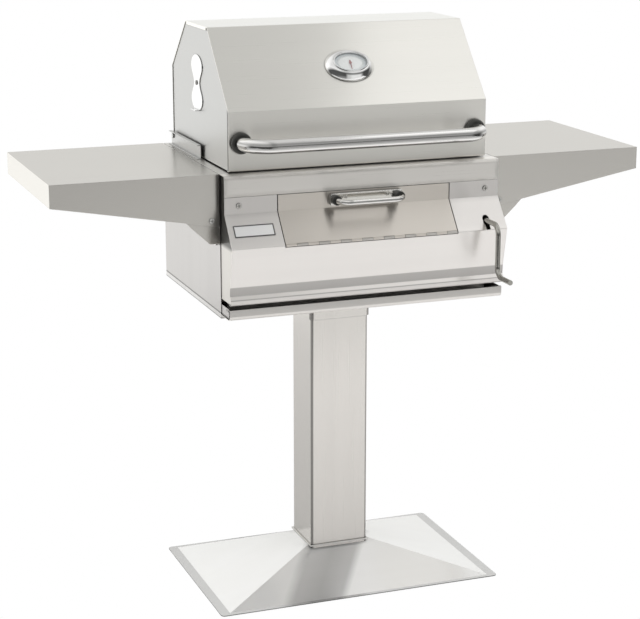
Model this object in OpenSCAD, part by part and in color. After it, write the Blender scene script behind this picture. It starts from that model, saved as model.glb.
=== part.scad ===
// Freestanding charcoal grill: a hooded grill head with two side shelves,
// carried by one rectangular post on a hipped base.
// X runs to the right, Y to the back and Z up. The origin is on the floor,
// in the middle of the post. Sizes are in millimetres.

/* [Stand] */
// Width of the base cover
base_w = 712; // [620:1:800]
// Depth of the base cover
base_d = 460; // [400:1:540]
// Height at which the slopes of the base cover would end inside the post
base_rise = 80; // [64:1:100]
// Flat rim at the two ends of the base cover
rim_end_w = 20; // [12:1:30]
// Flat rim along the front and the back of the base cover
rim_front_w = 8; // [5:1:16]
// Sheet of the base cover
cover_t = 2; // [1.5:0.1:2.6]
// Steel plate under the cover, which gives the stand its weight
floor_plate_t = 5; // [4:0.5:7]
// Width of the post
post_w = 146; // [130:1:160]
// Depth of the post
post_d = 131; // [115:1:145]
// Wall of the post
post_wall = 3; // [2:0.5:5]
// Outside corner radius of the post
post_corner_r = 7; // [5:0.5:11]
// Height of the collar under the head
collar_h = 52; // [35:1:70]
// Wall of the collar
collar_wall = 4; // [3:0.5:6]
// Plate on which the head is bolted
support_plate_t = 6; // [5:0.5:9]
// Width of the support plate
support_plate_w = 360; // [300:1:420]
// Depth of the support plate
support_plate_d = 240; // [210:1:280]

/* [Head] */
// Width of the head
head_w = 670; // [640:1:700]
// Height of the top deck above the floor
deck_z = 1042; // [1020:1:1060]
// Height of the underside of the head above the floor
head_z = 710; // [690:1:722]
// From the middle of the post to the front of the firebox
body_front = 189; // [180:1:198]
// From the middle of the post to the back of the firebox
body_back = 263; // [250:1:276]
// From the middle of the post to the upright face of the front panel
face_front = 223; // [215:1:230]
// From the middle of the post to the main fold of the front panel
fold_front = 277; // [265:1:285]
// From the middle of the post to the lower fold of the front panel
low_fold_front = 259; // [252:1:264]
// Height of the trim band
trim_h = 48.5; // [40:0.5:56]
// Height of the upright part of the front panel
face_h = 38.5; // [32:0.5:44]
// Height of the slanted part of the front panel
slant_h = 68; // [60:1:74]
// Height of the valance under the main fold
valance_h = 90; // [82:1:96]
// Height of the upright band under the valance
band_h = 21; // [17:1:26]
// Height of the lip at the foot of the front panel
lip_h = 20.5; // [16:0.5:24]
// Sheet of the head and the hood
sheet_t = 1.5; // [1.2:0.1:2]
// Inside radius of the folds
fold_r = 2; // [1.5:0.1:3]
// Height of the rim of the bottom pan
pan_rim_h = 11; // [9:1:14]
// Width of the deck at each side of the firebox opening
deck_side_w = 32; // [26:1:38]
// Width of the deck at the front and the back of the firebox opening
deck_end_w = 32; // [26:1:36]

/* [Hood] */
// From each side of the head to the side of the hood
hood_inset = 21.5; // [19:0.5:30]
// Height of the hood
hood_h = 306; // [285:1:325]
// Height of the hood's upright front
hood_front_h = 134; // [120:1:150]
// Height of the hood's upright back
hood_back_h = 190; // [170:1:205]
// From the middle of the post to the hood's front
hood_front = 192; // [186:1:197]
// From the middle of the post to the hood's back
hood_back = 249; // [238:1:256]
// Depth of the hood's front slope
hood_slope_d = 153; // [140:1:166]
// Depth of the hood's back slope
hood_back_slope_d = 119; // [105:1:130]
// Space between the closed hood and the deck
hood_gap = 2.5; // [2:0.1:4]
// Diameter of the hood handle
handle_d = 32; // [28:1:35]
// From each side of the hood to the end of its handle
handle_inset = 28; // [24:1:45]
// Distance from the hood to the middle of the handle
handle_reach = 73; // [66:1:84]
// Height of the handle above the hood's lower edge
handle_rise = 64.5; // [55:0.5:75]
// Bend radius of the handle at its middle line
handle_bend_r = 56; // [50:1:58]
// Diameter of the black collars at the handle's ends
grommet_d = 48; // [44:1:54]
// Length of the thermometer's bezel, across the hood
bezel_w = 118; // [110:1:126]
// Width of the thermometer's bezel, up the slope
bezel_d = 88; // [84:1:96]
// Height of the thermometer's bezel
bezel_h = 20; // [16:0.5:23]
// Angle the thermometer's hand rests at, from straight up the slope
needle_angle = 180; // [120:1:240]
// Height of a side vent's shutter
shutter_h = 130; // [116:1:144]
// Width of the shutter at its two lobes
shutter_w = 84; // [76:1:92]
// Width of the shutter at its waist
shutter_waist = 40; // [34:1:48]
// Diameter of the two vent holes behind each shutter
vent_hole_d = 46; // [38:1:50]

/* [Charcoal door] */
// Width of the door
door_w = 418; // [380:1:430]
// Gap between the charcoal door and the panel at each side of it
door_gap = 2; // [1:0.1:3]
// Diameter of the hinge along the door's foot
hinge_d = 6.4; // [6:0.1:7]
// Number of knuckles of the hinge
hinge_count = 16; // [12:2:20]
// Distance between the legs of the door handle
door_handle_span = 154; // [135:1:200]
// How far the handle's tray reaches past each leg
door_plate_lap = 10.5; // [9:0.5:18]
// Height of the handle's tray
door_plate_h = 27.5; // [25:0.5:30]
// Depth of the handle's tray, out from the door
door_plate_d = 12; // [8:0.5:15]
// Diameter of the door handle's rod
door_rod_d = 13; // [11:0.1:14]
// From the door's face to the middle of the handle's rod
door_handle_reach = 57; // [52:1:66]
// Radius of the bends in the door handle
door_handle_bend_r = 26; // [20:1:28]

/* [Charcoal lift] */
// From the right side of the head to the lift shaft
shaft_inset = 47; // [43:1:53]
// Height of the lift shaft above the floor
shaft_z = 906; // [902:1:912]
// Diameter of the crank's rod
crank_d = 12; // [10:0.5:13]
// Length of the crank's hanging arm
crank_arm = 119; // [100:1:125]
// Length of the crank's grip
crank_grip = 68; // [60:1:90]
// Distance from the main fold to the crank's arm
crank_reach = 50; // [42:1:58]
// Length of the lift arms between their pins
lift_arm = 45; // [40:1:48]
// Angle of the lift arms above level, with the charcoal pan at the top
lift_angle = 37; // [30:1:40]
// Depth of the charcoal pan's walls
coal_wall_h = 42; // [34:1:48]
// Diameter of the charcoal grate's rods
coal_rod_d = 8; // [7:0.5:9]
// Number of rods in the charcoal grate
coal_rod_count = 19; // [13:2:21]

/* [Cooking grids] */
// Diameter of the grid rods
grid_rod_d = 8; // [7:0.5:9]
// Number of rods in each grid
grid_rod_count = 16; // [12:1:18]
// Height of the ledges that carry the grids, below the deck
ledge_drop = 38; // [34:1:44]

/* [Ash tray] */
// Height of the tray's rounded front
tray_front_h = 25; // [22:1:26]
// Height of the tray's walls
tray_wall_h = 22; // [18:1:23]

/* [Side shelves] */
// Length of each shelf, away from the head
shelf_l = 383; // [350:1:420]
// Depth of each shelf, front to back
shelf_d = 457; // [430:1:470]
// Height of a shelf's outer end
shelf_end_h = 52; // [44:1:60]
// Height of a shelf's skirt at the head
shelf_root_h = 120; // [105:1:135]
// Length of the bracket under the shelf's inner end
bracket_l = 64; // [54:1:80]
// Height of the bracket, from the deck
bracket_h = 158; // [148:1:170]

/* [Hidden] */

steel = [0.78, 0.77, 0.75];
bright_steel = [0.86, 0.86, 0.85];
dark_steel = [0.45, 0.44, 0.42];
black = [0.08, 0.08, 0.08];

$fn = 48;
// Overrun of every cut past the face it opens
cut = 1;
// Space between pieces that move past each other
clear = 0.3;
// Radial space between a pin and its bore
fit = 0.05;
// Straight steps in each rounded fold
fold_steps = 3;
half_turn = 180;

// Derived sizes of the stand
apex_w = post_w * 0.85;
apex_d = post_d * 0.64;
rim_corner_r = rim_end_w / 2;
floor_plate_inset = base_w * 0.06;
post_foot_t = floor_plate_t * 1.2;
post_foot_lap = post_w * 0.2;
bolt_d = post_w / 12;
bolt_head_h = bolt_d / 2;
post_z = floor_plate_t + post_foot_t;
post_top = head_z - support_plate_t;

// Derived sizes of the head
pan_top = head_z + pan_rim_h;
seam_z = deck_z - trim_h;
face_foot_z = seam_z - face_h;
fold_z = face_foot_z - slant_h;
low_fold_z = fold_z - valance_h;
band_foot_z = low_fold_z - band_h;
lip_z = band_foot_z - lip_h;
band_in = sheet_t;
lip_out = lip_h * 0.3;
lip_turn = lip_h * 0.5;
lip_slope_h = lip_h * 0.4;
side_x = head_w / 2;
inner_x = side_x - sheet_t;
shaft_x = side_x - shaft_inset;
hood_w = head_w - 2 * hood_inset;
handle_span = hood_w - 2 * handle_inset;
flange_w = sheet_t * 8;
wall_y = sheet_t - body_front;
slant_run = fold_front - face_front;
slant_l = norm([slant_run, slant_h]);
slant_dir = [slant_run, slant_h] / slant_l;
slant_tilt = atan2(slant_run, slant_h);
opening_x = side_x - deck_side_w;
opening_front = deck_end_w - body_front;
opening_back = body_back - deck_end_w;

// Path of a sheet pushed sideways by d, to its left
function unit(v) = v / norm(v);
function side_of(v) = [-v[1], v[0]];
function pushed(p, d) = [for (i = [0 : len(p) - 1])
    let (a = i > 0 ? unit(p[i] - p[i - 1]) : unit(p[1] - p[0]),
        b = i < len(p) - 1 ? unit(p[i + 1] - p[i]) : a,
        m = side_of(a), n = side_of(b))
    p[i] + (m + n) * d / (1 + m * n)];
function turn_at(p, i) = cross(p[i] - p[i - 1], p[i + 1] - p[i]);
function wrap(a) = a > 180 ? a - 360 : a < -180 ? a + 360 : a;
// Points of the arc that rounds the corner b of the path a, b, c
function corner(a, b, c, r, n) =
    let (u = unit(a - b), v = unit(c - b), half = acos(u * v) / 2,
        mid = b + unit(u + v) * (r / sin(half)),
        s = b + u * (r / tan(half)) - mid, e = b + v * (r / tan(half)) - mid,
        from = atan2(s[1], s[0]), sweep = wrap(atan2(e[1], e[0]) - from))
    [for (j = [0 : n]) mid + r * [cos(from + sweep * j / n), sin(from + sweep * j / n)]];
// Path with each corner rounded, wider by t where the corner turns to the given side
function rounded(p, r, t, side) = [for (i = [0 : len(p) - 1]) each
    (i == 0 || i == len(p) - 1 ? [p[i]]
        : corner(p[i - 1], p[i], p[i + 1], turn_at(p, i) * side > 0 ? r + t : r, fold_steps))];
function reversed(p) = [for (i = [len(p) - 1 : -1 : 0]) p[i]];

// Outline of a sheet of thickness t that follows path p: to its right, or to its left if t is negative
module sheet_outline(p, t) {
    polygon(concat(rounded(p, fold_r, abs(t), -sign(t)),
        reversed(rounded(pushed(p, -t), fold_r, abs(t), sign(t)))));
}
// Outline in Y and Z, drawn out along X from x0 to x1
module along_x(x0, x1) {
    translate([x0, 0, 0]) rotate([90, 0, 90]) linear_extrude(height = x1 - x0) children();
}
// Outline in X and Z, drawn out along Y from y0 to y1
module along_y(y0, y1) {
    translate([0, y1, 0]) rotate([90, 0, 0]) linear_extrude(height = y1 - y0) children();
}
// Box between two corners
module block(low, high) {
    translate(low) cube(high - low);
}
// Round bar along X, Y or Z from a point
module bar_x(at, d, l) {
    translate(at) rotate([0, 90, 0]) cylinder(d = d, h = l);
}
module bar_y(at, d, l) {
    translate(at) rotate([-90, 0, 0]) cylinder(d = d, h = l);
}
module bar_z(at, d, l) {
    translate(at) cylinder(d = d, h = l);
}
module rounded_rect(w, d, r) {
    square([w - 2 * r, d], center = true);
    square([w, d - 2 * r], center = true);
    for (x = [-1, 1], y = [-1, 1]) translate([x * (w / 2 - r), y * (d / 2 - r)]) circle(r = r);
}
// Both sides, mirrored about the middle plane
module both_sides() {
    children();
    mirror([1, 0, 0]) children();
}
// Bolt head with its shank below, pointing up
bolt_head_share = 1.8;
bolt_head_h_share = 0.6;
module hex_bolt(at, d, l) {
    head_h = d * bolt_head_h_share;
    translate(at) {
        cylinder(d = d * bolt_head_share, h = head_h, $fn = 6);
        translate([0, 0, -l]) cylinder(d = d, h = l + head_h / 2);
    }
}

// Four-sided slope from a rectangle at z0 to a smaller one at z1
module slopes(w, d, z0, w1, d1, z1) {
    polyhedron(points = [for (k = [[w, d, z0], [w1, d1, z1]], s = [[-1, -1], [1, -1], [1, 1], [-1, 1]])
            [s[0] * k[0] / 2, s[1] * k[1] / 2, k[2]]],
        faces = [[0, 1, 2, 3], [7, 6, 5, 4], [0, 4, 5, 1], [1, 5, 6, 2], [2, 6, 7, 3], [3, 7, 4, 0]]);
}
module base_cover() {
    inner_w = base_w - 2 * rim_end_w;
    inner_d = base_d - 2 * rim_front_w;
    color(steel) difference() {
        union() {
            linear_extrude(height = cover_t) rounded_rect(base_w, base_d, rim_corner_r);
            slopes(inner_w, inner_d, cover_t / 2, apex_w, apex_d, base_rise);
        }
        translate([0, 0, -cover_t]) slopes(inner_w, inner_d, cover_t / 2, apex_w, apex_d, base_rise);
        translate([0, 0, -cut]) linear_extrude(height = base_rise + 2 * cut)
            rounded_rect(post_w + 2 * clear, post_d + 2 * clear, post_corner_r + clear);
    }
}
module base_floor_plate() {
    color(dark_steel) difference() {
        translate([floor_plate_inset - base_w / 2, floor_plate_inset - base_d / 2, 0])
            cube([base_w - 2 * floor_plate_inset, base_d - 2 * floor_plate_inset, floor_plate_t]);
        foot_bolts(bolt_d + 2 * fit);
    }
}
module foot_bolts(d) {
    for (x = [-1, 1], y = [-1, 1])
        bar_z([x * (post_w + post_foot_lap) / 2, y * (post_d + post_foot_lap) / 2, -cut], d,
            post_z + 2 * cut);
}
module post_foot_plate() {
    color(dark_steel) difference() {
        translate([-post_w / 2 - post_foot_lap, -post_d / 2 - post_foot_lap, floor_plate_t])
            cube([post_w + 2 * post_foot_lap, post_d + 2 * post_foot_lap, post_foot_t]);
        foot_bolts(bolt_d + 2 * fit);
    }
}
module post_foot_bolts() {
    color(bright_steel) for (x = [-1, 1], y = [-1, 1])
        hex_bolt([x * (post_w + post_foot_lap) / 2, y * (post_d + post_foot_lap) / 2, post_z],
            bolt_d, post_z - floor_plate_t / 4);
}
module post() {
    color(steel) translate([0, 0, post_z]) linear_extrude(height = post_top - post_z) difference() {
        rounded_rect(post_w, post_d, post_corner_r);
        rounded_rect(post_w - 2 * post_wall, post_d - 2 * post_wall, post_corner_r - post_wall);
    }
}
module post_collar() {
    color(steel) translate([0, 0, post_top - collar_h]) linear_extrude(height = collar_h) difference() {
        rounded_rect(post_w + 2 * collar_wall, post_d + 2 * collar_wall, post_corner_r + collar_wall);
        rounded_rect(post_w + 2 * fit, post_d + 2 * fit, post_corner_r + fit);
    }
}
support_bolt_x = support_plate_w / 2 - bolt_d * 2;
support_bolt_y = support_plate_d / 2 - bolt_d * 2;
module support_bolt_holes() {
    for (x = [-1, 1], y = [-1, 1])
        bar_z([x * support_bolt_x, y * support_bolt_y, post_top - cut], bolt_d + 2 * fit,
            support_plate_t + pan_rim_h + 2 * cut);
}
module support_plate() {
    color(dark_steel) difference() {
        translate([0, 0, post_top]) linear_extrude(height = support_plate_t)
            rounded_rect(support_plate_w, support_plate_d, post_corner_r);
        support_bolt_holes();
    }
}
module support_bolts() {
    color(bright_steel) for (x = [-1, 1], y = [-1, 1])
        translate([x * support_bolt_x, y * support_bolt_y, post_top]) mirror([0, 0, 1])
            hex_bolt([0, 0, 0], bolt_d, support_plate_t + sheet_t + bolt_head_h / 2);
}

// The firebox: a shallow bottom pan, two sides, a back, an inner front wall and the deck
module bottom_pan() {
    color(steel) difference() {
        block([-side_x, -body_front, head_z], [side_x, body_back, pan_top]);
        block([-inner_x, wall_y, head_z + sheet_t], [inner_x, body_back - sheet_t, pan_top + cut]);
        support_bolt_holes();
    }
}
module side_panel() {
    color(steel) {
        block([inner_x, -body_front, pan_top], [side_x, body_back, deck_z - sheet_t]);
        block([inner_x - flange_w, -body_front, deck_z - 2 * sheet_t],
            [side_x, body_back, deck_z - sheet_t]);
        block([inner_x - flange_w, -body_front, pan_top], [side_x, body_back, pan_top + sheet_t]);
    }
}
module side_panel_right() {
    side_panel();
}
module side_panel_left() {
    mirror([1, 0, 0]) side_panel();
}
module back_panel() {
    color(steel) difference() {
        block([flange_w - inner_x, body_back - sheet_t, pan_top],
            [inner_x - flange_w, body_back, deck_z - sheet_t]);
        bar_y([shaft_x, wall_y, shaft_z], bush_d, body_front + body_back);
        bar_y([link_x, wall_y, shaft_z], stub_d, body_front + body_back);
    }
    color(steel) both_sides()
        block([inner_x - flange_w, body_back - sheet_t, pan_top + sheet_t],
            [inner_x, body_back, deck_z - 2 * sheet_t]);
}
door_hole_x = door_w / 2 - flange_w / 2;
door_hole_foot = fold_z;
door_hole_top = seam_z - sheet_t * 2;
wall_foot_z = pan_top + tray_wall_h + sheet_t * 4;
module inner_front_wall() {
    color(steel) difference() {
        block([-inner_x, -body_front, wall_foot_z], [inner_x, wall_y, deck_z - 2 * sheet_t]);
        block([-door_hole_x, -body_front - cut, door_hole_foot],
            [door_hole_x, wall_y + cut, door_hole_top]);
        bar_y([shaft_x, -body_front - cut, shaft_z], bush_d, sheet_t + 2 * cut);
        bar_y([link_x, -body_front - cut, shaft_z], stub_d, sheet_t + 2 * cut);
    }
}
deck_skirt_h = ledge_drop / 2;
module top_deck() {
    color(steel) difference() {
        union() {
            block([-side_x, -body_front, deck_z - sheet_t], [side_x, body_back, deck_z]);
            block([-opening_x - sheet_t, opening_front - sheet_t, deck_z - deck_skirt_h],
                [opening_x + sheet_t, opening_back + sheet_t, deck_z - sheet_t]);
        }
        block([-opening_x, opening_front, deck_z - deck_skirt_h - cut],
            [opening_x, opening_back, deck_z + cut]);
    }
}

// The front of the head: a trim band, one folded panel below it and an end cap at each side
module trim_band() {
    color(steel) along_x(-side_x, side_x)
        sheet_outline([[-body_front, deck_z], [-face_front, deck_z], [-face_front, seam_z + clear]],
            -sheet_t);
}
panel_path = [[-face_front, seam_z - clear], [-face_front, face_foot_z], [-fold_front, fold_z],
    [-low_fold_front, low_fold_z], [band_in - low_fold_front, band_foot_z],
    [band_in - lip_out - low_fold_front, band_foot_z - lip_slope_h],
    [band_in - lip_out - low_fold_front, lip_z], [lip_turn - low_fold_front, lip_z]];
// Depth of the door's cut-out below the main fold
door_clearance = hinge_d * 0.62;
crank_hole_d = crank_d * 1.4;
crank_slot_w = crank_d * 0.9;
module front_panel() {
    color(steel) difference() {
        along_x(-side_x, side_x) sheet_outline(panel_path, -sheet_t);
        block([-door_w / 2 - door_gap, -fold_front - cut, hinge_z - door_clearance],
            [door_w / 2 + door_gap, -body_front, deck_z]);
        for (z = [-1, 1]) bar_y([shaft_x, -fold_front - cut, shaft_z + z * crank_d / 4], crank_hole_d,
            fold_front - face_front);
        block([shaft_x - crank_slot_w / 2, -fold_front - cut, fold_z],
            [shaft_x + crank_slot_w / 2, -face_front, shaft_z]);
    }
}
panel_inside = pushed(panel_path, sheet_t + fit);
cap_edge = sheet_t + fit - face_front;
cap_path = concat([[-body_front, deck_z - sheet_t - fit], [cap_edge, deck_z - sheet_t - fit]],
    [for (i = [1 : len(panel_path) - 2]) panel_inside[i]],
    [[panel_inside[len(panel_path) - 2][0], lip_z + sheet_t + fit], [-body_front, lip_z + sheet_t + fit]]);
cap_x = side_x - sheet_t * 2;
module end_cap_right() {
    color(steel) along_x(cap_x, cap_x + sheet_t) polygon(cap_path);
}
module end_cap_left() {
    mirror([1, 0, 0]) end_cap_right();
}
screw_d = sheet_t * 8;
screw_h = sheet_t * 1.5;
// Flat round screw head on a sheet, with a cross recess, facing -Y
module screw_head(at, d = screw_d) {
    recess_l = d / 1.5;
    recess_w = d / 8;
    translate(at) rotate([90, 0, 0]) difference() {
        cylinder(d = d, h = screw_h);
        for (a = [0, 90]) rotate([0, 0, a]) translate([-recess_l / 2, -recess_w / 2, screw_h / 2])
            cube([recess_l, recess_w, screw_h]);
    }
}
panel_screw_x = side_x * 0.9;
module panel_screws() {
    color(bright_steel) for (x = [-1, 1])
        screw_head([x * panel_screw_x, -face_front, (seam_z + face_foot_z) / 2]);
}
plate_w = head_w * 0.14;
plate_h = slant_l * 0.33;
plate_x = head_w * 0.41;
plate_t = sheet_t;
module name_plate() {
    color(bright_steel) translate([-plate_x, -fold_front, fold_z]) rotate([-slant_tilt, 0, 0])
        translate([-plate_w / 2, -plate_t, slant_l / 2 - plate_h / 2]) difference() {
            cube([plate_w, plate_t, plate_h]);
            translate([plate_t, -cut, plate_t])
                cube([plate_w - 2 * plate_t, cut + plate_t / 2, plate_h - 2 * plate_t]);
        }
}

// Rails beside the hood's foot, which hold its hinge pins
rail_gap = sheet_t * 2;
rail_x = hood_w / 2 + rail_gap;
rail_l = (hood_back + hood_front) * 0.545;
rail_h = 33 / 306 * hood_h;
rail_flange = sheet_t * 6;
pivot_y = hood_back - sheet_t * 9;
pivot_z = deck_z + rail_h * 2 / 3;
pin_d = sheet_t * 5;
pin_head_d = pin_d * 1.6;
module hood_rail_right() {
    color(steel) difference() {
        union() {
            block([rail_x, hood_back - rail_l, deck_z], [rail_x + sheet_t, hood_back, deck_z + rail_h]);
            block([rail_x, hood_back - rail_l, deck_z],
                [rail_x + rail_flange, hood_back, deck_z + sheet_t]);
            block([rail_x, hood_back - rail_l, deck_z + rail_h - sheet_t],
                [rail_x + rail_flange, hood_back, deck_z + rail_h]);
        }
        bar_x([rail_x - cut, pivot_y, pivot_z], pin_d + 2 * fit, sheet_t + 2 * cut);
    }
}
module hood_rail_left() {
    mirror([1, 0, 0]) hood_rail_right();
}
hood_side_x = hood_w / 2 - 2 * sheet_t;
module hood_hinge_pins() {
    color(bright_steel) both_sides() {
        bar_x([hood_side_x - sheet_t * 2, pivot_y, pivot_z], pin_d,
            rail_x + sheet_t * 2 - hood_side_x + sheet_t);
        bar_x([rail_x + sheet_t, pivot_y, pivot_z], pin_head_d, sheet_t * 2);
    }
}

// Ledges and cooking grids
ledge_z = deck_z - ledge_drop;
ledge_lap = deck_end_w * 0.75;
ledge_flange_h = ledge_drop / 3;
module grid_ledge_front() {
    color(dark_steel) {
        block([-inner_x, wall_y, ledge_z - sheet_t], [inner_x, opening_front + ledge_lap, ledge_z]);
        block([-inner_x, wall_y, ledge_z - sheet_t], [inner_x, wall_y + sheet_t, ledge_z + ledge_flange_h]);
    }
}
module grid_ledge_back() {
    color(dark_steel) {
        block([-inner_x, opening_back - ledge_lap, ledge_z - sheet_t],
            [inner_x, body_back - sheet_t, ledge_z]);
        block([-inner_x, body_back - 2 * sheet_t, ledge_z - sheet_t],
            [inner_x, body_back - sheet_t, ledge_z + ledge_flange_h]);
    }
}
grid_gap = sheet_t * 2;
grid_front = opening_front + grid_gap * 2;
grid_back = opening_back - grid_gap * 2;
grid_w = opening_x - 2 * grid_gap;
grid_pitch = (grid_w - grid_rod_d) / (grid_rod_count - 1);
grid_bar_h = grid_rod_d * 0.8;
grid_rod_z = ledge_z + grid_bar_h + grid_rod_d * 0.42;
module cooking_grid_right() {
    bars = [0.02, 0.5, 0.98];
    color(dark_steel) {
        for (i = [0 : grid_rod_count - 1])
            bar_y([grid_gap / 2 + grid_rod_d / 2 + i * grid_pitch, grid_front, grid_rod_z], grid_rod_d,
                grid_back - grid_front);
        for (k = bars) translate([grid_gap / 2, grid_front + k * (grid_back - grid_front - grid_rod_d),
            ledge_z])
            cube([grid_w, grid_rod_d, grid_bar_h]);
    }
}
module cooking_grid_left() {
    mirror([1, 0, 0]) cooking_grid_right();
}

// Charcoal lift: two pairs of parallel arms that carry the charcoal pan level
link_x = -(shaft_x - 2 * lift_arm * cos(lift_angle));
pin_drop = lift_arm * sin(lift_angle);
pan_pin_x = shaft_x - lift_arm * cos(lift_angle);
pan_pin_z = shaft_z + pin_drop;
lift_pin_d = crank_d * 0.8;
bush_d = crank_d * 1.7;
stub_d = crank_d;
arm_t = crank_d / 2;
coal_front = wall_y + crank_d * 3.2;
coal_back = body_back - crank_d * 3.4;
coal_x = pan_pin_x + lift_pin_d * 1.4;
coal_t = sheet_t * 1.34;
coal_z = pan_pin_z - coal_wall_h - lift_pin_d * 1.8;
bush_flange_d = bush_d * 1.3;
bush_flange_t = crank_d / 4;
stub_flange_d = stub_d * 1.6;
stub_pin_d = stub_d * 0.7;
shaft_eye_d = crank_d * 1.7;
pin_eye_d = lift_pin_d * 1.8;
arm_neck_share = 0.8;
module shaft_bushes() {
    color(dark_steel) {
        difference() {
            union() {
                bar_y([shaft_x, -body_front, shaft_z], bush_d, crank_d);
                bar_y([shaft_x, wall_y, shaft_z], bush_flange_d, bush_flange_t);
            }
            bar_y([shaft_x, -body_front - cut, shaft_z], crank_d + 2 * fit, crank_d + 2 * cut);
        }
        difference() {
            union() {
                bar_y([shaft_x, body_back - crank_d, shaft_z], bush_d, crank_d);
                bar_y([shaft_x, body_back - sheet_t - bush_flange_t, shaft_z], bush_flange_d, bush_flange_t);
            }
            bar_y([shaft_x, body_back - crank_d - cut, shaft_z], crank_d + 2 * fit, crank_d + 2 * cut);
        }
    }
}
front_arm_y = coal_front - arm_t - clear * 2;
back_arm_y = coal_back + clear * 2;
module link_stubs() {
    color(dark_steel) {
        bar_y([link_x, -body_front, shaft_z], stub_d, front_arm_y - clear + body_front);
        bar_y([link_x, wall_y, shaft_z], stub_flange_d, arm_t);
        bar_y([link_x, back_arm_y + arm_t + clear, shaft_z], stub_d,
            body_back - back_arm_y - arm_t - clear);
        bar_y([link_x, body_back - sheet_t - arm_t, shaft_z], stub_flange_d, arm_t);
        bar_y([link_x, front_arm_y - clear, shaft_z], stub_pin_d, arm_t + clear * 2);
        bar_y([link_x, back_arm_y - clear, shaft_z], stub_pin_d, arm_t + clear * 2);
    }
}
// Flat arm from a pivot to a pin, raised by the lift angle and pointing to -X
module flat_arm(at, hub, eye) {
    translate(at) rotate([0, lift_angle, 0]) {
        rotate([-90, 0, 0]) cylinder(d = hub, h = arm_t);
        translate([-lift_arm, 0, 0]) rotate([-90, 0, 0]) cylinder(d = eye, h = arm_t);
        translate([-lift_arm, 0, -eye * arm_neck_share / 2]) cube([lift_arm, arm_t, eye * arm_neck_share]);
    }
}
crank_y = -fold_front - crank_reach;
crank_bend_r = crank_d * 1.9;
module quarter_bend(r, d) {
    rotate_extrude(angle = 90) translate([r, 0]) circle(d = d, $fn = 24);
}
module crank_and_arms() {
    color(dark_steel) {
        bar_y([shaft_x, crank_y + crank_bend_r, shaft_z], crank_d,
            body_back - crank_d / 3 - crank_y - crank_bend_r);
        translate([shaft_x, crank_y + crank_bend_r, shaft_z - crank_bend_r]) rotate([0, -90, half_turn])
            quarter_bend(crank_bend_r, crank_d);
        bar_z([shaft_x, crank_y, shaft_z - crank_arm + crank_bend_r], crank_d,
            crank_arm - 2 * crank_bend_r);
        translate([shaft_x, crank_y - crank_bend_r, shaft_z - crank_arm + crank_bend_r]) rotate([0, -90, 0])
            mirror([1, 0, 0]) quarter_bend(crank_bend_r, crank_d);
        bar_y([shaft_x, crank_y - crank_grip, shaft_z - crank_arm], crank_d, crank_grip - crank_bend_r);
    }
    color(steel) {
        flat_arm([shaft_x, front_arm_y, shaft_z], shaft_eye_d, pin_eye_d);
        flat_arm([shaft_x, back_arm_y, shaft_z], shaft_eye_d, pin_eye_d);
        bar_y([pan_pin_x, front_arm_y, pan_pin_z], lift_pin_d, arm_t + coal_t + lift_pin_d);
        bar_y([pan_pin_x, back_arm_y - coal_t - lift_pin_d, pan_pin_z], lift_pin_d,
            arm_t + coal_t + lift_pin_d);
    }
}
module swing_links() {
    color(steel) {
        for (y = [front_arm_y, back_arm_y]) difference() {
            flat_arm([link_x, y, shaft_z], shaft_eye_d, pin_eye_d);
            bar_y([link_x, y - cut, shaft_z], stub_pin_d + 2 * fit, arm_t + 2 * cut);
        }
        bar_y([-pan_pin_x, front_arm_y, pan_pin_z], lift_pin_d, arm_t + coal_t + lift_pin_d);
        bar_y([-pan_pin_x, back_arm_y - coal_t - lift_pin_d, pan_pin_z], lift_pin_d,
            arm_t + coal_t + lift_pin_d);
    }
}
coal_ear_w = lift_pin_d * 2.6;
coal_rod_sink = coal_rod_d * 0.04;
coal_pitch = (2 * coal_x - 2 * coal_t - coal_rod_d) / (coal_rod_count + 1);
module charcoal_pan() {
    color(dark_steel) {
        difference() {
            union() {
                block([-coal_x, coal_front, coal_z], [coal_x, coal_back, coal_z + coal_wall_h]);
                for (y = [coal_front, coal_back - coal_t],
                    x = [coal_ear_w / 2 - coal_x, coal_x - coal_ear_w / 2])
                    block([x - coal_ear_w / 2, y, coal_z + coal_wall_h / 2],
                        [x + coal_ear_w / 2, y + coal_t, pan_pin_z + lift_pin_d]);
            }
            block([coal_t - coal_x, coal_front + coal_t, coal_z + coal_t],
                [coal_x - coal_t, coal_back - coal_t, coal_z + coal_wall_h + cut]);
            block([coal_wall_h / 2 - coal_x, coal_front + coal_wall_h / 2, coal_z - cut],
                [coal_x - coal_wall_h / 2, coal_back - coal_wall_h / 2, coal_z + coal_wall_h]);
            for (y = [coal_front, coal_back - coal_t]) {
                bar_y([pan_pin_x, y - cut, pan_pin_z], lift_pin_d + 2 * fit, coal_t + 2 * cut);
                bar_y([-pan_pin_x, y - cut, pan_pin_z], lift_pin_d + 2 * clear, coal_t + 2 * cut);
            }
        }
        for (i = [1 : coal_rod_count])
            bar_y([-coal_x + coal_t + coal_rod_d / 2 + i * coal_pitch, coal_front + coal_t,
                coal_z + coal_t + coal_rod_d / 2 - coal_rod_sink], coal_rod_d,
                coal_back - coal_front - 2 * coal_t);
    }
}

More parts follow.
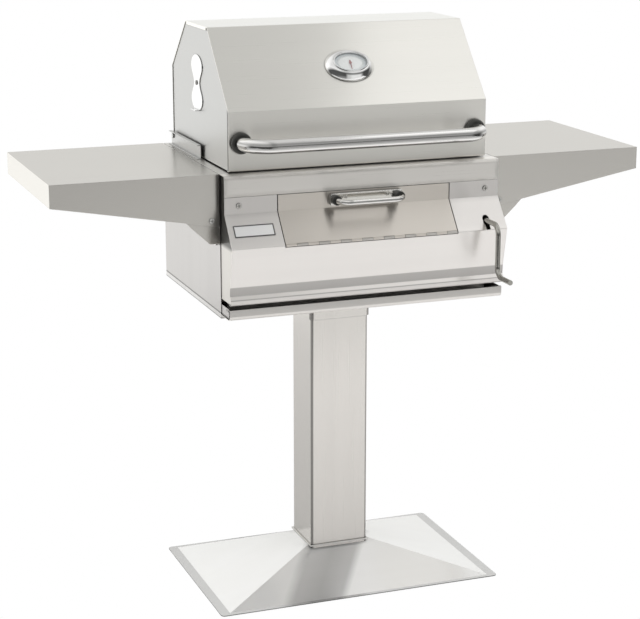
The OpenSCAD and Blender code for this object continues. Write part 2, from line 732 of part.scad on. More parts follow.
// Ash tray with its rounded front, and the runners it slides on
tray_x = inner_x - flange_w - clear * 6;
tray_z = pan_top + clear * 2;
tray_front = -low_fold_front + tray_front_h * 0.2;
tray_back = body_back - sheet_t * 18;
tray_corner_r = tray_front_h * 0.4;
tray_foot_z = tray_z - sheet_t * 2;
tray_lip_z = tray_foot_z + tray_front_h;
module tray_runners() {
    color(dark_steel) both_sides() {
        block([tray_x - flange_w, wall_y + clear, head_z + sheet_t],
            [tray_x + clear, tray_back, tray_z - clear]);
        block([tray_x + clear, wall_y + clear, head_z + sheet_t],
            [tray_x + clear + sheet_t, tray_back, tray_z + tray_wall_h / 2]);
    }
}
module ash_tray() {
    color(steel) {
        block([-tray_x, -body_front - clear - sheet_t, tray_foot_z],
            [tray_x, -body_front - clear, tray_z + tray_wall_h]);
        difference() {
            block([-tray_x, -body_front - clear, tray_z], [tray_x, tray_back, tray_z + tray_wall_h]);
            block([sheet_t - tray_x, sheet_t - body_front, tray_z + sheet_t],
                [tray_x - sheet_t, tray_back - sheet_t, tray_z + tray_wall_h + cut]);
        }
        block([-side_x, tray_front, tray_foot_z + tray_corner_r],
            [side_x, tray_front + sheet_t, tray_lip_z]);
        block([-side_x, tray_front, tray_lip_z - sheet_t], [side_x, tray_front + flange_w / 2, tray_lip_z]);
        block([-side_x, tray_front + tray_corner_r, tray_foot_z],
            [side_x, -body_front - clear, tray_foot_z + sheet_t]);
        intersection() {
            block([-side_x, tray_front, tray_foot_z],
                [side_x, tray_front + tray_corner_r, tray_foot_z + tray_corner_r]);
            difference() {
                bar_x([-side_x, tray_front + tray_corner_r, tray_foot_z + tray_corner_r],
                    2 * tray_corner_r, head_w);
                bar_x([-side_x - cut, tray_front + tray_corner_r, tray_foot_z + tray_corner_r],
                    2 * (tray_corner_r - sheet_t), head_w + 2 * cut);
            }
        }
    }
}
tray_end_front = tray_front + sheet_t + fit;
tray_end_foot = tray_foot_z + sheet_t + fit;
tray_end_screw_d = tray_front_h / 5;
module ash_tray_ends() {
    color(steel) both_sides() block([side_x - 2 * sheet_t, tray_end_front + tray_corner_r, tray_end_foot],
        [side_x - sheet_t, -body_front - clear - sheet_t, tray_lip_z]);
    color(black) both_sides() for (y = [0.2, 0.6])
        bar_x([side_x - sheet_t, tray_end_front + tray_corner_r + y * tray_front_h,
            tray_lip_z - tray_end_screw_d],
            tray_end_screw_d, sheet_t);
}

// Hood: one folded shell, two side plates, handle, thermometer and vent shutters
hood_z = deck_z + hood_gap;
hood_top = hood_z + hood_h;
hood_fold_z = hood_z + hood_front_h;
hood_back_z = hood_z + hood_back_h;
hem_w = sheet_t * 7;
hood_foot_back = pivot_z - rail_h * 0.4;
hood_path = [[hem_w - hood_front, hood_z], [-hood_front, hood_z], [-hood_front, hood_fold_z],
    [hood_slope_d - hood_front, hood_top], [hood_back - hood_back_slope_d, hood_top],
    [hood_back, hood_back_z], [hood_back, hood_foot_back]];
slope_tilt = atan2(hood_h - hood_front_h, hood_slope_d);
gauge_share = 0.47;
gauge_y = -hood_front + hood_slope_d * gauge_share;
gauge_z = hood_fold_z + (hood_h - hood_front_h) * gauge_share;
stem_d = bezel_d * 0.15;
stem_nut_w = stem_d * 1.9;
probe_d = stem_d / 2.4;
probe_l = bezel_d * 0.7;
handle_x = handle_span / 2;
handle_z = hood_z + handle_rise;
handle_bolt_d = handle_d / 4;
handle_washer_d = handle_bolt_d * 2.6;
handle_leg = handle_reach - handle_bend_r;
handle_bolt_l = handle_leg * 0.8 + 2 * sheet_t;
// Frame of the thermometer: Z stands off the slope and Y runs up it
module on_slope() {
    translate([0, gauge_y, gauge_z]) rotate([slope_tilt, 0, 0]) children();
}
top_hem_h = sheet_t * 5;
module hood_shell() {
    color(steel) difference() {
        union() {
            along_x(-hood_w / 2, hood_w / 2) sheet_outline(hood_path, sheet_t);
            both_sides() block([hood_side_x + sheet_t, hood_slope_d - hood_front + top_hem_h,
                hood_top - top_hem_h],
                [hood_w / 2, hood_back - hood_back_slope_d - top_hem_h, hood_top - sheet_t]);
        }
        on_slope() translate([0, 0, -sheet_t - cut]) cylinder(d = stem_d + 2 * fit, h = sheet_t + 2 * cut);
        both_sides() bar_y([handle_x, -hood_front - cut, handle_z], handle_bolt_d + 2 * fit,
            sheet_t + 2 * cut);
    }
}
vent_y = (hood_back - hood_front) * 0.79;
vent_z = hood_z + hood_h * 0.56;
lobe_share = 0.58;
rivet_d = shutter_waist * 0.15;
hood_inside = pushed(hood_path, -sheet_t);
hood_side_path = concat(rounded([for (i = [1 : len(hood_path) - 1]) hood_inside[i]], fold_r, sheet_t, 1),
    [[hood_back - hem_w * 2, hood_foot_back], [hood_back - hem_w * 4, hood_inside[1][1]]]);
module hood_side_right() {
    color(steel) difference() {
        along_x(hood_side_x, hood_side_x + sheet_t) polygon(hood_side_path);
        bar_x([hood_side_x - cut, pivot_y, pivot_z], pin_d + 2 * fit, sheet_t + 2 * cut);
        bar_x([hood_side_x - cut, vent_y, vent_z], rivet_d + 2 * fit, sheet_t + 2 * cut);
        for (s = [-1, 1]) bar_x([hood_side_x - cut, vent_y, vent_z + s * shutter_h / 2 * lobe_share],
            vent_hole_d, sheet_t + 2 * cut);
    }
}
module hood_side_left() {
    mirror([1, 0, 0]) hood_side_right();
}
module hood_handle() {
    color(bright_steel) difference() {
        union() {
            bar_x([handle_bend_r - handle_x, -hood_front - handle_reach, handle_z], handle_d,
                handle_span - 2 * handle_bend_r);
            both_sides() {
                translate([handle_x - handle_bend_r, -hood_front - handle_leg, handle_z]) rotate([0, 0, -90])
                    rotate_extrude(angle = 90) translate([handle_bend_r, 0]) circle(d = handle_d);
                bar_y([handle_x, -hood_front - handle_leg, handle_z], handle_d, handle_leg);
            }
        }
        both_sides() bar_y([handle_x, -hood_front - handle_leg, handle_z], handle_bolt_d, handle_leg + cut);
    }
}
grommet_t = grommet_d * 0.26;
grommet_edge = grommet_t * 0.4;
module handle_grommets() {
    color(black) both_sides() translate([handle_x, -hood_front, handle_z]) rotate([90, 0, 0])
        rotate_extrude()
        polygon(concat([[handle_d / 2 + fit, 0], [grommet_d / 2, 0]],
            [for (a = [0 : 15 : 90]) [grommet_d / 2 - grommet_edge + grommet_edge * cos(a),
                grommet_t - grommet_edge + grommet_edge * sin(a)]], [[handle_d / 2 + fit, grommet_t]]));
}
module handle_bolts() {
    color(bright_steel) both_sides() translate([handle_x, sheet_t - hood_front, handle_z])
        rotate([-90, 0, 0]) {
        cylinder(d = handle_washer_d, h = sheet_t);
        hex_bolt([0, 0, sheet_t], handle_bolt_d, handle_bolt_l);
    }
}
dial_share = 0.695;
dial_w = bezel_w * dial_share;
bezel_rim = (bezel_w - dial_w) / 2;
// An oval of four arcs: radius of its ends, radius of its long sides and where they meet
end_r = bezel_d * bezel_d / bezel_w / 2;
end_x = bezel_w / 2 - end_r;
long_r = (end_x * end_x + bezel_d * bezel_d / 4 - end_r * end_r) / (bezel_d - 2 * end_r);
long_y = long_r - bezel_d / 2;
meet = atan2(long_y, end_x);
lens_t = bezel_h / 6;
// The oval, smaller by w all round
module oval(w) {
    for (x = [-1, 1]) translate([x * end_x, 0]) circle(r = end_r - w);
    intersection() {
        translate([0, -long_y]) circle(r = long_r - w);
        translate([0, long_y]) circle(r = long_r - w);
        square([2 * (end_x + (end_r - w) * cos(meet)), bezel_d], center = true);
    }
}
// Height and inset of each fine step of the bezel's rounded rim
rim_steps = 9;
function rim_inset(k) = bezel_rim * (1 - cos(90 * k / rim_steps));
function rim_height(k) = bezel_h * sin(90 * (k + 1) / rim_steps);
module thermometer_bezel() {
    color(bright_steel) on_slope() for (k = [0 : rim_steps - 1])
        linear_extrude(height = rim_height(k)) difference() {
            oval(rim_inset(k));
            oval(bezel_rim);
        }
}
dial_t = bezel_h * 0.6;
module thermometer_dial() {
    color([0.92, 0.92, 0.9]) on_slope() difference() {
        linear_extrude(height = dial_t) oval(bezel_rim + fit);
        translate([0, 0, -cut]) cylinder(d = needle_post_d + 2 * fit, h = dial_t + 2 * cut);
    }
}
needle_post_d = bezel_h * 0.16;
needle_t = bezel_h * 0.05;
needle_z = dial_t + needle_t * 1.2;
needle_l = (bezel_d / 2 - bezel_rim) * 0.66;
needle_tail = needle_l * 0.4;
module thermometer_lens() {
    color([0.8, 0.9, 0.95, 0.35]) on_slope() translate([0, 0, bezel_h * 0.9 - lens_t])
        linear_extrude(height = lens_t) oval(bezel_rim + fit);
}
module thermometer_needle() {
    color([0.7, 0.15, 0.1]) on_slope() {
        translate([0, 0, dial_t / 2]) cylinder(d = needle_post_d, h = needle_z + needle_t - dial_t / 2);
        translate([0, 0, needle_z]) cylinder(d = needle_post_d * 2, h = needle_t);
        translate([0, 0, needle_z]) rotate([0, 0, -needle_angle]) linear_extrude(height = needle_t)
            polygon([[-needle_post_d / 2, -needle_tail], [needle_post_d / 2, -needle_tail],
                [needle_t / 2, needle_l],
                [-needle_t / 2, needle_l]]);
    }
}
module thermometer_stem() {
    color(bright_steel) on_slope() {
        translate([0, 0, -sheet_t]) cylinder(d = stem_d, h = sheet_t);
        translate([0, 0, -sheet_t - stem_d / 2]) cylinder(d = stem_nut_w, h = stem_d / 2, $fn = 6);
        translate([0, 0, -probe_l]) cylinder(d = probe_d, h = probe_l - sheet_t);
    }
}
// Half width of the shutter at a share s of its half height
function lobe(s) = s < lobe_share
    ? shutter_waist / 2 + (shutter_w - shutter_waist) / 2 * (1 - cos(180 * s / lobe_share)) / 2
    : shutter_w / 2 * sqrt(max(0, 1 - pow((s - lobe_share) / (1 - lobe_share), 2)));
lobe_steps = 12;
lobe_side = [for (i = [-lobe_steps : lobe_steps]) let (s = i < 0
        ? -(1 - pow(1 + i / lobe_steps, 2)) : 1 - pow(1 - i / lobe_steps, 2))
    [lobe(abs(s)), s * shutter_h / 2]];
shutter_x = hood_side_x + sheet_t + clear;
tab_w = shutter_waist * 0.9;
tab_l = sheet_t * 8;
tab_z = vent_z - shutter_h * 0.49;
rivet_head_d = rivet_d * 1.8;
module vent_shutter_right() {
    color(bright_steel) {
        difference() {
            along_x(shutter_x, shutter_x + sheet_t) translate([vent_y, vent_z])
                polygon(concat(lobe_side, [for (i = [len(lobe_side) - 2 : -1 : 1]) [-lobe_side[i][0],
                    lobe_side[i][1]]]));
            bar_x([shutter_x - cut, vent_y, vent_z], rivet_d + 2 * fit, sheet_t + 2 * cut);
        }
        block([shutter_x, vent_y - tab_w / 2, tab_z],
            [shutter_x + tab_l, vent_y + tab_w / 2, tab_z + sheet_t]);
    }
}
module vent_shutter_left() {
    mirror([1, 0, 0]) vent_shutter_right();
}
module vent_rivets() {
    color(dark_steel) both_sides() {
        bar_x([hood_side_x - sheet_t, vent_y, vent_z], rivet_d, shutter_x + 3 * sheet_t - hood_side_x);
        bar_x([shutter_x + sheet_t + clear, vent_y, vent_z], rivet_head_d, sheet_t);
        bar_x([hood_side_x - sheet_t, vent_y, vent_z], rivet_head_d, sheet_t);
    }
}

// Charcoal door: a panel flush with the front, hinged along the main fold
hinge_inset = hinge_d * 0.4;
hinge_y = -fold_front + hinge_inset;
hinge_z = fold_z;
hinge_pitch = door_w / hinge_count;
hinge_pin_d = hinge_d / 2;
leaf_t = sheet_t * 0.7;
leaf_w = hinge_d * 3;
// Tabs of the fixed leaf, which carry its knuckles
leaf_tab_w = hinge_pitch * 0.8;
leaf_tab_top = hinge_d * 0.38;
door_foot = hinge_d * 0.55;
valance_tilt = atan2(fold_front - low_fold_front, valance_h);
leaf_y = sheet_t - hinge_inset * cos(valance_tilt);
// Panel points on the slant, measured up from the main fold
function on_slant(l) = [-fold_front, fold_z] + slant_dir * l;
door_path = [[-face_front, seam_z - door_gap / 2], [-face_front, face_foot_z], on_slant(door_foot)];
module knuckles(first) {
    for (i = [first : 2 : hinge_count - 1]) difference() {
        bar_x([-door_w / 2 + i * hinge_pitch + clear, hinge_y, hinge_z], hinge_d, hinge_pitch - 2 * clear);
        bar_x([-door_w / 2 + i * hinge_pitch, hinge_y, hinge_z], hinge_pin_d + 2 * fit, hinge_pitch);
    }
}
module door_hinge_fixed() {
    color(dark_steel) {
        knuckles(1);
        translate([0, hinge_y, hinge_z]) rotate([valance_tilt, 0, 0]) {
            translate([-door_w / 2, leaf_y, -leaf_w])
                cube([door_w, leaf_t, leaf_w - hinge_d / 2 - 2 * clear]);
            for (i = [1 : 2 : hinge_count - 1])
                translate([-door_w / 2 + i * hinge_pitch + (hinge_pitch - leaf_tab_w) / 2, leaf_y, -leaf_w])
                    cube([leaf_tab_w, leaf_t, leaf_w - leaf_tab_top]);
        }
    }
}
module door_hinge_pin() {
    color(bright_steel) bar_x([-door_w / 2, hinge_y, hinge_z], hinge_pin_d, door_w);
}
module charcoal_door() {
    color(steel) {
        difference() {
            along_x(-door_w / 2, door_w / 2) sheet_outline(door_path, -sheet_t);
            for (i = [1 : 2 : hinge_count - 1])
                bar_x([-door_w / 2 + i * hinge_pitch, hinge_y, hinge_z], hinge_d + 2 * clear, hinge_pitch);
        }
        knuckles(0);
    }
}
door_plate_z = (seam_z + face_foot_z) / 2 + sheet_t / 2;
door_plate_w = door_handle_span + 2 * door_plate_lap;
door_plate_r = door_plate_h / 6;
door_plate_face = -face_front - door_plate_d;
door_leg_x = door_handle_span / 2;
door_screw_d = screw_d / 2;
door_screw_x = door_leg_x - door_rod_d * 1.25;
door_screw_pitch = door_rod_d * 0.8;
door_screw_rise = door_plate_h / 6;
// The handle's tray, open towards the door
module door_handle_plate() {
    color(bright_steel) difference() {
        along_y(door_plate_face, -face_front) translate([0, door_plate_z])
            rounded_rect(door_plate_w, door_plate_h, door_plate_r);
        along_y(door_plate_face + sheet_t, cut - face_front) translate([0, door_plate_z])
            rounded_rect(door_plate_w - 2 * sheet_t, door_plate_h - 2 * sheet_t, door_plate_r - sheet_t);
        both_sides() bar_y([door_leg_x, door_plate_face - cut, door_plate_z], door_rod_d + 2 * fit,
            sheet_t + 2 * cut);
    }
    color(bright_steel) both_sides() for (k = [0, 1])
        screw_head([door_screw_x - k * door_screw_pitch, door_plate_face, door_plate_z + door_screw_rise],
            door_screw_d);
}
door_grommet_d = door_rod_d * 1.7;
door_grommet_t = door_rod_d * 1.15;
module door_handle_grommets() {
    color(black) both_sides() translate([door_leg_x, door_plate_face, door_plate_z]) rotate([90, 0, 0])
        difference() {
            cylinder(d = door_grommet_d, h = door_grommet_t);
            translate([0, 0, -cut]) cylinder(d = door_rod_d + 2 * fit, h = door_grommet_t + 2 * cut);
        }
}
module door_handle_rod() {
    y = -face_front - door_handle_reach;
    bend = door_handle_bend_r;
    color(bright_steel) {
        bar_x([bend - door_leg_x, y, door_plate_z], door_rod_d, 2 * (door_leg_x - bend));
        both_sides() {
            translate([door_leg_x - bend, y + bend, door_plate_z]) rotate([0, 0, -90])
                quarter_bend(bend, door_rod_d);
            bar_y([door_leg_x, y + bend, door_plate_z], door_rod_d, door_handle_reach - bend);
        }
    }
}

// Side shelves: a flat top with a tapered skirt, and a bracket at each inner corner
shelf_y = (body_back - body_front - shelf_d) / 2 + shelf_d / 2;
shelf_front = shelf_y - shelf_d / 2;
shelf_back = shelf_y + shelf_d / 2;
shelf_gap = sheet_t;
shelf_x = side_x + shelf_gap;
skirt = [[shelf_x, deck_z], [shelf_x + shelf_l, deck_z], [shelf_x + shelf_l, deck_z - shelf_end_h],
    [shelf_x, deck_z - shelf_root_h]];
module shelf_right() {
    color(steel) difference() {
        along_y(shelf_front, shelf_back) polygon(skirt);
        along_y(shelf_front + sheet_t, shelf_back - sheet_t) polygon([[shelf_x + sheet_t, deck_z - sheet_t],
            [shelf_x + shelf_l - sheet_t, deck_z - sheet_t],
            [shelf_x + shelf_l - sheet_t, deck_z - shelf_root_h],
            [shelf_x + sheet_t, deck_z - shelf_root_h - cut]]);
    }
}
module shelf_left() {
    mirror([1, 0, 0]) shelf_right();
}
bracket_foot = bracket_l * 0.36;
bracket_t = sheet_t * 2;
bracket_foot_w = bracket_l / 2;
shelf_bolt_d = screw_d / 2;
bracket_screw_x = shelf_x + bracket_l * 0.28;
bracket_screw_z = deck_z - shelf_root_h * 0.87;
module shelf_brackets_right() {
    color(steel) for (y = [shelf_front + sheet_t, shelf_back - sheet_t - bracket_t]) {
        along_y(y, y + bracket_t) polygon([[shelf_x + sheet_t, deck_z - shelf_end_h],
            [shelf_x + bracket_l * 2, deck_z - shelf_end_h], [shelf_x + bracket_l, deck_z - shelf_root_h],
            [shelf_x + bracket_foot, deck_z - bracket_h], [shelf_x, deck_z - bracket_h],
            [shelf_x, deck_z - shelf_root_h - sheet_t],
            [shelf_x + sheet_t, deck_z - shelf_root_h - sheet_t]]);
    }
    color(steel) {
        block([side_x, shelf_front + sheet_t, deck_z - bracket_h],
            [shelf_x, shelf_front + sheet_t + bracket_foot_w, deck_z - shelf_root_h]);
        block([side_x, shelf_back - sheet_t - bracket_foot_w, deck_z - bracket_h],
            [shelf_x, shelf_back - sheet_t, deck_z - shelf_root_h]);
    }
}
module shelf_brackets_left() {
    mirror([1, 0, 0]) shelf_brackets_right();
}
module shelf_fasteners() {
    color(bright_steel) both_sides() {
        screw_head([bracket_screw_x, shelf_front, bracket_screw_z]);
        translate([0, 2 * shelf_y, 0]) mirror([0, 1, 0])
            screw_head([bracket_screw_x, shelf_front, bracket_screw_z]);
        for (y = [shelf_front + sheet_t + bracket_t + screw_d, shelf_back - sheet_t - bracket_t - screw_d])
            bar_z([shelf_x + screw_d / 4, y, deck_z - bracket_h - shelf_bolt_d], shelf_bolt_d, shelf_bolt_d);
    }
}

base_cover();
base_floor_plate();
post_foot_plate();
post_foot_bolts();
post();
post_collar();
support_plate();
support_bolts();
bottom_pan();
side_panel_left();
side_panel_right();
back_panel();
inner_front_wall();
top_deck();
trim_band();
front_panel();
end_cap_left();
end_cap_right();
panel_screws();
name_plate();
hood_rail_left();
hood_rail_right();
hood_hinge_pins();
grid_ledge_front();
grid_ledge_back();
cooking_grid_left();
cooking_grid_right();
shaft_bushes();
link_stubs();
door_hinge_fixed();
door_hinge_pin();
shelf_left();
shelf_right();
shelf_brackets_left();
shelf_brackets_right();
shelf_fasteners();
tray_runners();
ash_tray();
ash_tray_ends();
hood_shell();
hood_side_left();
hood_side_right();
hood_handle();
handle_grommets();
handle_bolts();
thermometer_bezel();
thermometer_dial();
thermometer_lens();
thermometer_needle();
thermometer_stem();
vent_shutter_left();
vent_shutter_right();
vent_rivets();
charcoal_door();
door_handle_plate();
door_handle_rod();
door_handle_grommets();
crank_and_arms();
swing_links();
charcoal_pan();
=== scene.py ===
import bpy
import math
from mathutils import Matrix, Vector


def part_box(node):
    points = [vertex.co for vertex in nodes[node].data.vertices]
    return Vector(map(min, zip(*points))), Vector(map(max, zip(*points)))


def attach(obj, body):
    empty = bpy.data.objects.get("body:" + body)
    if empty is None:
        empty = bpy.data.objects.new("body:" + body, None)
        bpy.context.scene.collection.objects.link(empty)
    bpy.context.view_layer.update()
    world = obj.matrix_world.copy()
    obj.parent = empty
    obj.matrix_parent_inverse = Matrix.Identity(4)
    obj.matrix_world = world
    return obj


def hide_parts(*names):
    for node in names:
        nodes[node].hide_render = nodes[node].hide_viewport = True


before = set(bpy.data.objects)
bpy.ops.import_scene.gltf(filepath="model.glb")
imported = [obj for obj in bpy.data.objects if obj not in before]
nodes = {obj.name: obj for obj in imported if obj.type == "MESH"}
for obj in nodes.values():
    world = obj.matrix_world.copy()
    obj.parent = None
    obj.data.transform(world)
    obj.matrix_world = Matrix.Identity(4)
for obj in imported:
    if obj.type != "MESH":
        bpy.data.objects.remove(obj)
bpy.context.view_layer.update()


# Base cover, 2 mm stainless sheet folded to four slopes with a flat rim, brushed along its
# length. It hides the floor plate, and a welded bead closes it round the post. The brushed
# finish made here serves nearly every piece of the grill.
def add(tree, kind, values=None, **settings):
    """Adds a shader node with its settings and its input values."""
    node = tree.nodes.new(kind)
    for name, value in settings.items():
        setattr(node, name, value)
    for socket, value in (values or {}).items():
        node.inputs[socket].default_value = value
    return node


def calc(tree, operation, *terms):
    """Adds a Math node over numbers and outputs of other nodes, and returns its output."""
    node = add(tree, "ShaderNodeMath", operation=operation)
    for socket, term in zip(node.inputs, terms):
        if isinstance(term, (int, float)):
            socket.default_value = term
        else:
            tree.links.new(term, socket)
    return node.outputs[0]


def scaled(tree, colour, factor):
    """Multiplies a colour by a number that comes from another node."""
    product = add(tree, "ShaderNodeVectorMath", operation="SCALE")
    tree.links.new(colour, product.inputs[0])
    tree.links.new(factor, product.inputs["Scale"])
    return product.outputs["Vector"]


def add_ramp(tree, stops):
    """Adds a colour ramp with a colour at each place from 0 to 1."""
    ramp = add(tree, "ShaderNodeValToRGB")
    while len(ramp.color_ramp.elements) < len(stops):
        ramp.color_ramp.elements.new(0.5)
    for element, (at, colour) in zip(ramp.color_ramp.elements, stops):
        element.position = at
        element.color = [*colour, 1]
    return ramp


def noise(tree, scale, detail):
    """Adds noise over the object's own place, with one scale for each axis."""
    place = add(tree, "ShaderNodeTexCoord")
    spread = add(tree, "ShaderNodeMapping", {"Scale": scale})
    texture = add(tree, "ShaderNodeTexNoise", {"Scale": 1.0, "Detail": detail})
    tree.links.new(place.outputs["Object"], spread.inputs["Vector"])
    tree.links.new(spread.outputs["Vector"], texture.inputs["Vector"])
    return texture.outputs["Fac"]


def brushed(name, colour, rough, grain, shade=0.025, metal=1.0, streak=0.08, rounding=0.0012,
            smear=0.75, crevice_shade=0.5):
    """Makes a metal brushed along the axis called grain, or a paint where metal is 0.

    Its colour and its roughness vary by shade and streak, rounding softens its edges, smear
    draws its reflections out across the grain, and its last argument sets how much painted
    shade, from ambient occlusion, darkens its seams and corners.
    """
    material = bpy.data.materials.new(name)
    material.use_nodes = True
    tree = material.node_tree
    link = tree.links.new
    shader = tree.nodes["Principled BSDF"]
    shader.inputs["Metallic"].default_value = metal
    shader.inputs["Anisotropic"].default_value = smear
    shader.inputs["Anisotropic Rotation"].default_value = 0.25
    # A slight lean gives an end face, which is square to the grain, a direction as well.
    lean = 0.03
    along = add(tree, "ShaderNodeCombineXYZ", {grain: 1.0, "Y" if grain == "Z" else "Z": lean})
    link(along.outputs["Vector"], shader.inputs["Tangent"])
    # Scratches and bands are drawn out along the grain, and clouds are as wide as they are long.
    scratches = noise(tree, [3.0 if axis == grain else 1500.0 for axis in "XYZ"], 3.0)
    bands = noise(tree, [0.7 if axis == grain else 26.0 for axis in "XYZ"], 2.0)
    clouds = noise(tree, [2.4, 2.4, 2.4], 4.0)
    mottle = calc(tree, "MULTIPLY_ADD", bands, 0.5, calc(tree, "MULTIPLY", clouds, 0.5))
    darker = [channel * (1 - shade) for channel in colour]
    brighter = [min(1, channel * (1 + shade)) for channel in colour]
    tone = add_ramp(tree, [(0.32, darker), (0.68, brighter)])
    link(mottle, tone.inputs["Fac"])
    # Painted shade: ambient occlusion darkens the colour in seams, corners and crevices.
    occlusion = add(tree, "ShaderNodeAmbientOcclusion", {"Distance": 0.004}, samples=6)
    unshaded_share = add(tree, "ShaderNodeMapRange", {"From Min": 0.35, "From Max": 0.95, "To Min": 1 - crevice_shade})
    link(occlusion.outputs["AO"], unshaded_share.inputs["Value"])
    link(scaled(tree, tone.outputs["Color"], unshaded_share.outputs["Result"]), shader.inputs["Base Color"])
    dull = add(tree, "ShaderNodeMapRange", {"To Min": rough - streak / 2, "To Max": rough + streak / 2})
    link(scratches, dull.inputs["Value"])
    link(dull.outputs["Result"], shader.inputs["Roughness"])
    relief = add(tree, "ShaderNodeBump", {"Strength": 0.02, "Distance": 0.0004})
    link(scratches, relief.inputs["Height"])
    if rounding:
        edge = add(tree, "ShaderNodeBevel", {"Radius": rounding}, samples=4)
        link(edge.outputs["Normal"], relief.inputs["Normal"])
    link(relief.outputs["Normal"], shader.inputs["Normal"])
    return material


def coat(names, material):
    """Gives the named CAD pieces one material."""
    for name in names:
        nodes[name].data.materials.clear()
        nodes[name].data.materials.append(material)


def toned(material, source, axis, stops, low=-1.0, high=1.0, slant=0.0):
    """Scales a material's colour by stops along one axis of its place or of its normal.

    All stops lie between low and high. A slant shifts the place by that share of the
    distance from the plane through the grill's middle, from side to side.
    """
    kind, output = {"place": ("ShaderNodeTexCoord", "Object"),
                    "normal": ("ShaderNodeNewGeometry", "Normal")}[source]
    tree = material.node_tree
    link = tree.links.new
    base = tree.nodes["Principled BSDF"].inputs["Base Color"]
    parts = add(tree, "ShaderNodeSeparateXYZ")
    link(add(tree, kind).outputs[output], parts.inputs[0])
    value = parts.outputs[axis]
    if slant:
        value = calc(tree, "MULTIPLY_ADD", calc(tree, "ABSOLUTE", parts.outputs["Y"]), slant, value)
    run = add(tree, "ShaderNodeMapRange", {"From Min": low, "From Max": high})
    link(value, run.inputs["Value"])
    ramp = add_ramp(tree, [((at - low) / (high - low), [level] * 3) for at, level in stops])
    link(run.outputs["Result"], ramp.inputs["Fac"])
    product = add(tree, "ShaderNodeVectorMath", operation="MULTIPLY")
    link(base.links[0].from_socket, product.inputs[0])
    link(ramp.outputs["Color"], product.inputs[1])
    link(product.outputs["Vector"], base)


base_steel = brushed("base_steel", [0.99, 0.985, 0.975], 0.17, "X", shade=0.02, metal=0.5, streak=0.04)
# Painted shade by facing: the sheet's upright cut edge is dark and its flat top rim darker than the
# slopes.
toned(base_steel, "normal", "Z",
      [(0.2, 0.2), (0.6, 1.0), (0.91, 1.0), (0.94, 0.94), (0.975, 0.94), (0.99, 0.62)])
# Painted reflection: a dark image of the post on the front and back slopes.
toned(base_steel, "place", "X",
      [(-0.11, 1.0), (-0.06, 0.96), (-0.03, 0.6), (0.03, 0.52), (0.09, 0.6), (0.112, 1.0)],
      -0.4, 0.6, slant=0.66)
coat(["base_cover"], base_steel)

# Floor plate, foot plate and support plate: thick mild steel, painted dull grey against rust
# and held by zinc-plated bolts. They give the stand its weight and are seen only from below.
plate_paint = brushed("plate_paint", [0.16, 0.16, 0.155], 0.55, "X", shade=0.12, metal=0.4)
coat(["base_floor_plate", "post_foot_plate", "support_plate"], plate_paint)
zinc = brushed("zinc", [0.7, 0.7, 0.69], 0.35, "Z", shade=0.08)
coat(["post_foot_bolts", "support_bolts"], zinc)

# Post, a rectangular stainless tube with rounded corners, brushed along its height, and the
# collar that takes the head. Painted light makes it paler towards the head, and painted shade
# darkens its rounded corners.
post_steel = brushed("post_steel", [0.76, 0.735, 0.705], 0.26, "Z")
# Painted light: paler towards the head.
toned(post_steel, "place", "Z", [(0.1, 0.9), (0.4, 1.0), (0.55, 1.08), (0.7, 1.2)], 0.0, 0.8)
# Painted shade: the rounded corners, turned partly aside, are darkened.
toned(post_steel, "normal", "X",
      [(-0.97, 0.87), (-0.9, 0.38), (-0.55, 0.28), (-0.25, 0.5), (-0.1, 1.0), (0.1, 1.0),
       (0.3, 0.45), (0.9, 0.45), (0.97, 0.9)])
coat(["post", "post_collar"], post_steel)

# Weld bead round the post where it passes through the cover: a low ground frame of bright
# metal, made as a block on the cover's top with the post's outline cut out of it.
bead = 0.0035
bite = 0.0001
post_low, post_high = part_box("post")
post_wide = post_high[0] - post_low[0]
post_deep = post_high[1] - post_low[1]
cover_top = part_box("base_cover")[1][2]


def block(wide, deep, tall, middle):
    """Adds a block on the post's axis, with its middle at the given height."""
    bpy.ops.object.select_all(action="DESELECT")
    bpy.ops.mesh.primitive_cube_add(size=1, location=(0, 0, middle))
    bpy.context.object.scale = (wide, deep, tall)
    bpy.ops.object.transform_apply(location=True, rotation=False, scale=True)
    return bpy.context.object


weld = block(post_wide + 2 * bead, post_deep + 2 * bead, bead, cover_top + bead / 4)
weld.name = "post_weld"
core = block(post_wide - 2 * bite, post_deep - 2 * bite, 4 * bead, cover_top)
opening = weld.modifiers.new("opening", "BOOLEAN")
opening.object = core
opening.operation = "DIFFERENCE"
bpy.context.view_layer.objects.active = weld
bpy.ops.object.modifier_apply(modifier="opening")
bpy.data.objects.remove(core)
weld.data.materials.append(brushed("weld_metal", [0.72, 0.71, 0.69], 0.35, "Z", shade=0.1, crevice_shade=0.2))
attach(weld, "grill")


# Head: 1.5 mm stainless sheet, folded and spot welded. The pan, deck and back are brushed
# from side to side, the side panels from top to bottom, and the inside is stained by heat.
def above(name, stops):
    """Turns stops in metres above the foot of a piece into places."""
    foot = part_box(name)[0][2]
    return [(foot + up, level) for up, level in stops]


pan_steel = brushed("pan_steel", [0.72, 0.71, 0.7], 0.3, "X")
# Painted shade: a thin dark band just above the pan's foot.
toned(pan_steel, "place", "Z",
      above("bottom_pan", [(0.0001, 1.0), (0.0004, 0.45), (0.0018, 0.45), (0.0028, 1.0)]), 0.7, 0.75)
coat(["bottom_pan"], pan_steel)
side_steel = brushed("side_steel", [0.58, 0.565, 0.555], 0.3, "Z")
# Painted shade: the side panels darken along their lowest few millimetres.
toned(side_steel, "place", "Z", above("side_panel_left", [(0.0025, 0.35), (0.0045, 1.0)]), 0.7, 0.75)
coat(["side_panel_left", "side_panel_right", "ash_tray_ends"], side_steel)
back_steel = brushed("back_steel", [0.86, 0.845, 0.82], 0.31, "X", shade=0.02, streak=0.05, smear=0.9)
coat(["top_deck", "back_panel"], back_steel)
inner_steel = brushed("inner_steel", [0.42, 0.39, 0.35], 0.42, "X", shade=0.18)
coat(["inner_front_wall", "grid_ledge_front", "grid_ledge_back", "tray_runners"], inner_steel)


